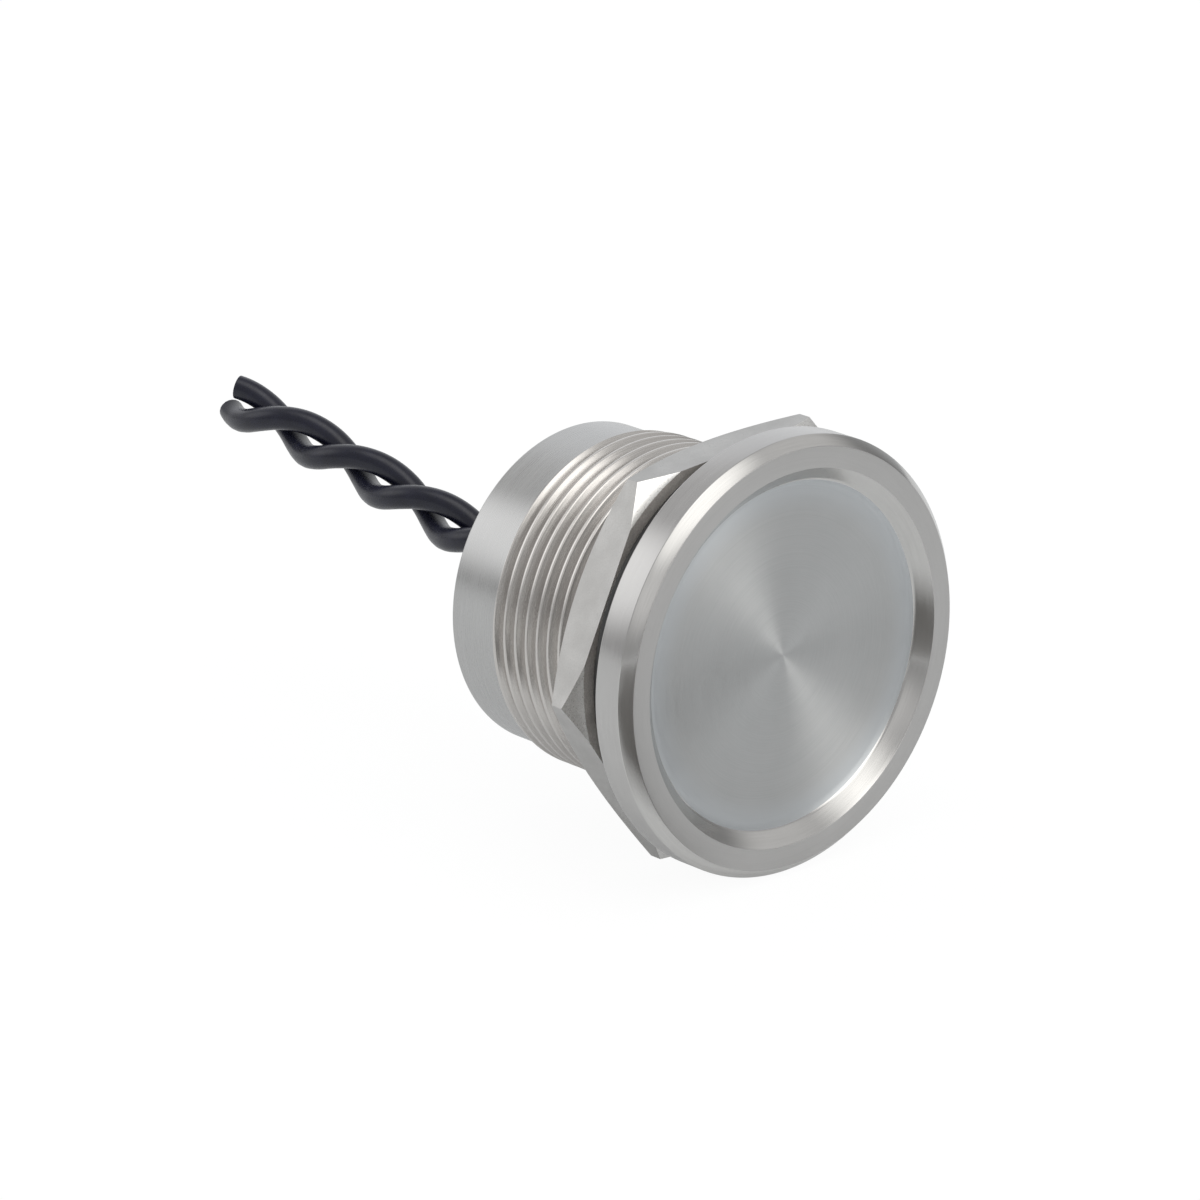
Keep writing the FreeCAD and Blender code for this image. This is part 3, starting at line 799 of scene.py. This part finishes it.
def make_meniscus():
    """Surface of the cast resin: it creeps up the bore and round the two leads."""
    outline = [(BORE_RADIUS * i / RESIN_RINGS, POTTING_LEVEL) for i in range(RESIN_RINGS + 1)]
    outline += [(BORE_RADIUS, POTTING_LEVEL - RESIN_DEPTH), (0, POTTING_LEVEL - RESIN_DEPTH)]
    shape = turned(outline)
    spots = [lead_route(side)[1] for side in LEAD_ENDS]
    for vertex in shape.verts:
        if vertex.co.y < (POTTING_LEVEL - RESIN_DEPTH / 2) * MM:
            continue
        wall = BORE_RADIUS - math.hypot(vertex.co.x, vertex.co.z) / MM
        rise = RESIN_SKIN + WALL_RISE * math.exp(-wall / WALL_REACH)
        for spot in spots:
            gap = math.hypot(vertex.co.x - spot.x, vertex.co.z - spot.z) / MM - LEAD_RADIUS
            rise += LEAD_RISE * math.exp(-max(gap, 0) / LEAD_REACH)
        vertex.co.y += rise * MM
    meniscus = place_mesh("potting_surface", shape)
    dress(meniscus, "potting_resin")
    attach(meniscus, "button")


make_housing()
make_nut()
make_seal()
make_meniscus()

slots = {part["node"]: part["material_slot"] for part in frame["record"]["subparts"]}
for name, thing in frame["nodes"].items():
    if slots[name] in SLOT_FINISHES:
        dress(thing, SLOT_FINISHES[slots[name]])


# Floor and light

FLOOR_COLOUR = (0.76, 0.775, 0.785)
FLOOR_GLOW = 1.03
GLOW_SEEN = 0.92  # the glow's share in what the camera sees of the floor
GLOW_MIRRORED = 0.28  # and in what the steel mirrors of it


def towards(azimuth, elevation):
    """Direction from the button: azimuth 0 is in front of the touch face, 90 to its right."""
    turn = math.radians(azimuth)
    rise = math.radians(elevation)
    flat = math.cos(rise)
    return Vector((math.sin(turn) * flat, -math.cos(turn) * flat, math.sin(rise)))


def make_floor():
    """Pale floor that keeps the button's soft shadow."""
    shape = bmesh.new()
    bmesh.ops.create_grid(shape, x_segments=8, y_segments=8, size=1.5)
    bmesh.ops.translate(shape, verts=shape.verts, vec=(0, 0, FLOOR_HEIGHT * MM))
    floor = place_mesh("floor", shape)
    finish = Finish("floor", 0.9)
    finish.shader.inputs["Base Color"].default_value = (*FLOOR_COLOUR, 1)
    glow = finish.node("Emission", (1, 1, 1, 1), FLOOR_GLOW)
    path = finish.node("LightPath")
    mirrored = finish.node(
        "Math", path.outputs["Is Glossy Ray"], GLOW_MIRRORED, operation="MULTIPLY",
    )
    seen = finish.node(
        "Math", path.outputs["Is Camera Ray"], GLOW_SEEN, mirrored.outputs[0],
        operation="MULTIPLY_ADD",
    )
    finish.mix_out(seen.outputs[0], finish.shader.outputs[0], glow.outputs[0])
    finishes["floor"] = finish.done()
    dress(floor, "floor")


# Soft lights of the studio: azimuth, elevation, full and faded radius in degrees, strength, tint;
# those of negative strength shade
SOFT_LIGHTS = [
    (-15, 62, 8, 35, 1.34, (1.0, 0.985, 0.955)),
    (10, 25, 10, 22, 1.85, (1.0, 0.985, 0.955)),
    (-45, 27, 6, 24, 0.36, (1.0, 0.985, 0.97)),
    (68, 42, 8, 32, 0.26, (1.0, 0.985, 0.96)),
    (-140, 27, 6, 26, 1.00, (1.0, 1.0, 1.0)),
    (140, 14, 10, 46, 0.50, (0.96, 0.99, 1.03)),
    (-175, 42, 8, 40, 0.16, (1.0, 0.99, 0.98)),
    (-80, 80, 4, 24, 0.90, (1.0, 1.0, 1.0)),
    (-48, -2, 5, 22, -0.06, (1.0, 1.0, 1.0)),
    (95, 4, 8, 34, -0.20, (1.0, 1.0, 1.0)),
]
BASE_LIGHT = 0.50


def make_world():
    world = bpy.data.worlds.new("studio")
    bpy.context.scene.world = world
    world.use_nodes = True
    tree = world.node_tree

    def node(kind, **settings):
        made = tree.nodes.new("ShaderNode" + kind)
        for key, value in settings.items():
            setattr(made, key, value)
        return made

    way = node("TexCoord").outputs["Generated"]
    total = None
    for azimuth, elevation, full, faded, strength, tint in SOFT_LIGHTS:
        facing = node("VectorMath", operation="DOT_PRODUCT")
        tree.links.new(way, facing.inputs[0])
        facing.inputs[1].default_value = towards(azimuth, elevation)
        fade = node("MapRange", interpolation_type="SMOOTHSTEP")
        tree.links.new(facing.outputs["Value"], fade.inputs["Value"])
        fade.inputs["From Min"].default_value = math.cos(math.radians(faded))
        fade.inputs["From Max"].default_value = math.cos(math.radians(full))
        fade.inputs["To Min"].default_value = 0.0
        fade.inputs["To Max"].default_value = strength
        part = node("VectorMath", operation="SCALE")
        part.inputs[0].default_value = tint
        tree.links.new(fade.outputs["Result"], part.inputs["Scale"])
        add = node("VectorMath", operation="ADD")
        tree.links.new(part.outputs[0], add.inputs[0])
        if total is None:
            add.inputs[1].default_value = (BASE_LIGHT,) * 3
        else:
            tree.links.new(total, add.inputs[1])
        total = add.outputs[0]
    soft = tree.nodes["Background"]
    tree.links.new(total, soft.inputs["Color"])
    soft.inputs["Strength"].default_value = 1.0
    white = node("Background")
    white.inputs["Color"].default_value = (1, 1, 1, 1)
    path = node("LightPath")
    mix = node("MixShader")
    tree.links.new(path.outputs["Is Camera Ray"], mix.inputs[0])
    tree.links.new(soft.outputs[0], mix.inputs[1])
    tree.links.new(white.outputs[0], mix.inputs[2])
    tree.links.new(mix.outputs[0], tree.nodes["World Output"].inputs["Surface"])


# Corners of the dark card: (x, y) where it is dark, (x, y) where it has faded, and how dark it is
SHADE_CORNERS = [
    ((-9, -10), (-1, -5), 1.0),
    ((-9, -27), (0, -27), 1.0),
    ((-24, -66), (0, -75), 0.95),
    ((-150, -400), (-100, -440), 0.45),
    ((-500, -290), (-560, -220), 0.45),
    ((-86, -52), (-110, -20), 0.95),
    ((-52, -22), (-60, -10), 1.0),
    ((-28, -11), (-18, -4), 1.0),
]


def make_shade_card():
    """Dark card that only reflections see, set low in front to draw the edges of the steel."""
    shape = bmesh.new()
    cover = shape.verts.layers.float.new("cover")
    full = []
    faded = []
    for dark_corner, faded_corner, share in SHADE_CORNERS:
        full.append(shape.verts.new(Vector((*dark_corner, CARD_HEIGHT)) * MM))
        full[-1][cover] = share
        faded.append(shape.verts.new(Vector((*faded_corner, CARD_HEIGHT)) * MM))
    shape.faces.new([full[i] for i in (0, 1, 2, 5, 6, 7)])
    shape.faces.new([full[i] for i in (2, 3, 4, 5)])
    for i in range(len(full)):
        j = (i + 1) % len(full)
        shape.faces.new([full[i], faded[i], faded[j], full[j]])
    card = place_mesh("shade_card", shape)
    finish = Finish("shade_card", 0.9)
    finish.shader.inputs["Base Color"].default_value = (0.17, 0.165, 0.16, 1)
    share = finish.node("Attribute", attribute_name="cover")
    clear = finish.node("BsdfTransparent")
    finish.mix_out(share.outputs["Fac"], clear.outputs[0], finish.shader.outputs[0])
    finishes["shade_card"] = finish.done()
    dress(card, "shade_card")
    card.visible_camera = False
    card.visible_diffuse = False
    card.visible_shadow = False
    card.visible_transmission = False


make_floor()
make_world()
make_shade_card()

bpy.context.scene.view_settings.view_transform = "Standard"
